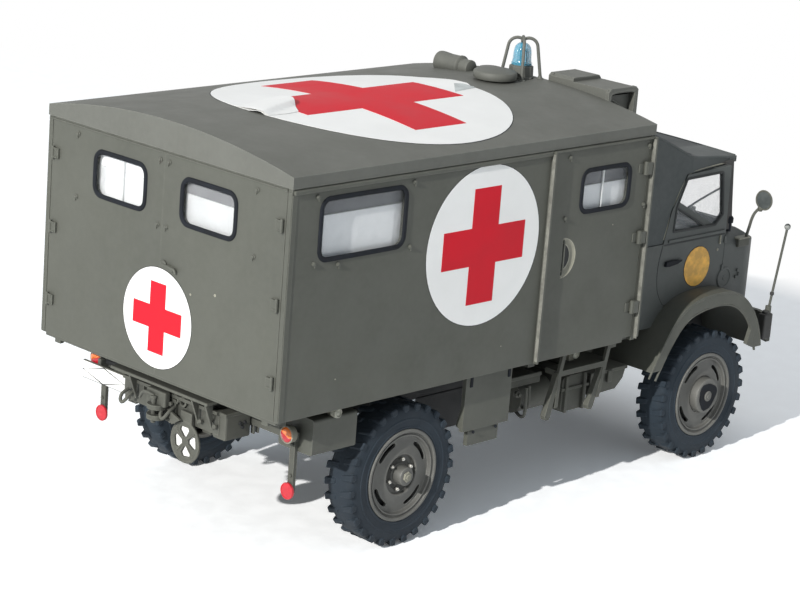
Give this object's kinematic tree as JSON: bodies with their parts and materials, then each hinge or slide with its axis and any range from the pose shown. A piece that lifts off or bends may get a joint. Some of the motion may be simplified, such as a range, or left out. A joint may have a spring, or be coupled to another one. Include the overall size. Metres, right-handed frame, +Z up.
{
  "type": "scale model of a military ambulance truck",
  "caption": "Display model of a boxy military ambulance truck with red crosses, soft-top cab, portal axles, roof beacon and turning wheels.",
  "frame": {"origin": "on the ground under the middle of the model's length and width", "axes": "+X forward, +Y to the truck's left, +Z up"},
  "size_m": [0.1397, 0.0624, 0.0798],
  "materials": {
    "olive_paint": "matt painted styrene",
    "chassis_paint": "matt painted styrene",
    "tyre_grey": "matt",
    "clear_styrene": "clear",
    "blue_lens": "clear blue",
    "blind_white": "matt white",
    "lamp_red": "gloss red",
    "reflector_red": "gloss red",
    "headlamp_clear": "gloss clear over silver",
    "seat_dark": "matt black"
  },
  "bodies": {
    "truck": {"air_tank": "chassis_paint", "beacon_base": "olive_paint", "beacon_dome": "blue_lens", "beacon_guard": "olive_paint", "box_floor": "olive_paint", "box_front_wall": "olive_paint", "box_left_wall": "olive_paint", "box_right_wall": "olive_paint", "box_roof": "olive_paint", "box_windows": "clear_styrene", "cab_cowl": "olive_paint", "cab_door_left": "olive_paint", "cab_door_right": "olive_paint", "cab_glass": "clear_styrene", "cab_seats": "seat_dark", "cab_tub": "olive_paint", "canvas_top": "olive_paint", "chassis_frame": "chassis_paint", "coil_springs": "chassis_paint", "dashboard": "seat_dark", "engine_block": "chassis_paint", "exhaust": "chassis_paint", "front_axle": "chassis_paint", "front_bumper": "olive_paint", "front_fenders": "olive_paint", "fuel_tank": "chassis_paint", "grille": "olive_paint", "headlamps": "headlamp_clear", "hood": "olive_paint", "lamp_bars": "olive_paint", "marker_poles": "olive_paint", "mirrors": "olive_paint", "rear_axle": "chassis_paint", "rear_door_left": "olive_paint", "rear_door_right": "olive_paint", "rear_lamps": "lamp_red", "rear_lockers": "olive_paint", "rear_step": "olive_paint", "reflectors": "reflector_red", "roof_duct": "olive_paint", "roof_vents": "olive_paint", "screen_frame": "olive_paint", "side_aprons": "olive_paint", "side_door": "olive_paint", "side_step": "olive_paint", "steering_wheel": "seat_dark", "tool_locker": "chassis_paint", "tow_coupling": "chassis_paint", "transmission": "chassis_paint", "window_blinds": "blind_white"},
    "front_left_wheel": {"front_left_tyre": "tyre_grey", "front_left_rim": "olive_paint"},
    "front_right_wheel": {"front_right_tyre": "tyre_grey", "front_right_rim": "olive_paint"},
    "rear_left_wheel": {"rear_left_tyre": "tyre_grey", "rear_left_rim": "olive_paint"},
    "rear_right_wheel": {"rear_right_tyre": "tyre_grey", "rear_right_rim": "olive_paint"}
  },
  "joints": [
    {"name": "front_left_wheel_spin", "type": "hinge", "parent": "truck", "child": "front_left_wheel", "pos_m": [0.0465, 0.0247, 0.0127], "axis": [0, 1, 0], "continuous": true},
    {"name": "front_right_wheel_spin", "type": "hinge", "parent": "truck", "child": "front_right_wheel", "pos_m": [0.0465, -0.0247, 0.0127], "axis": [0, 1, 0], "continuous": true},
    {"name": "rear_left_wheel_spin", "type": "hinge", "parent": "truck", "child": "rear_left_wheel", "pos_m": [-0.0364, 0.0247, 0.0127], "axis": [0, 1, 0], "continuous": true},
    {"name": "rear_right_wheel_spin", "type": "hinge", "parent": "truck", "child": "rear_right_wheel", "pos_m": [-0.0364, -0.0247, 0.0127], "axis": [0, 1, 0], "continuous": true}
  ]
}
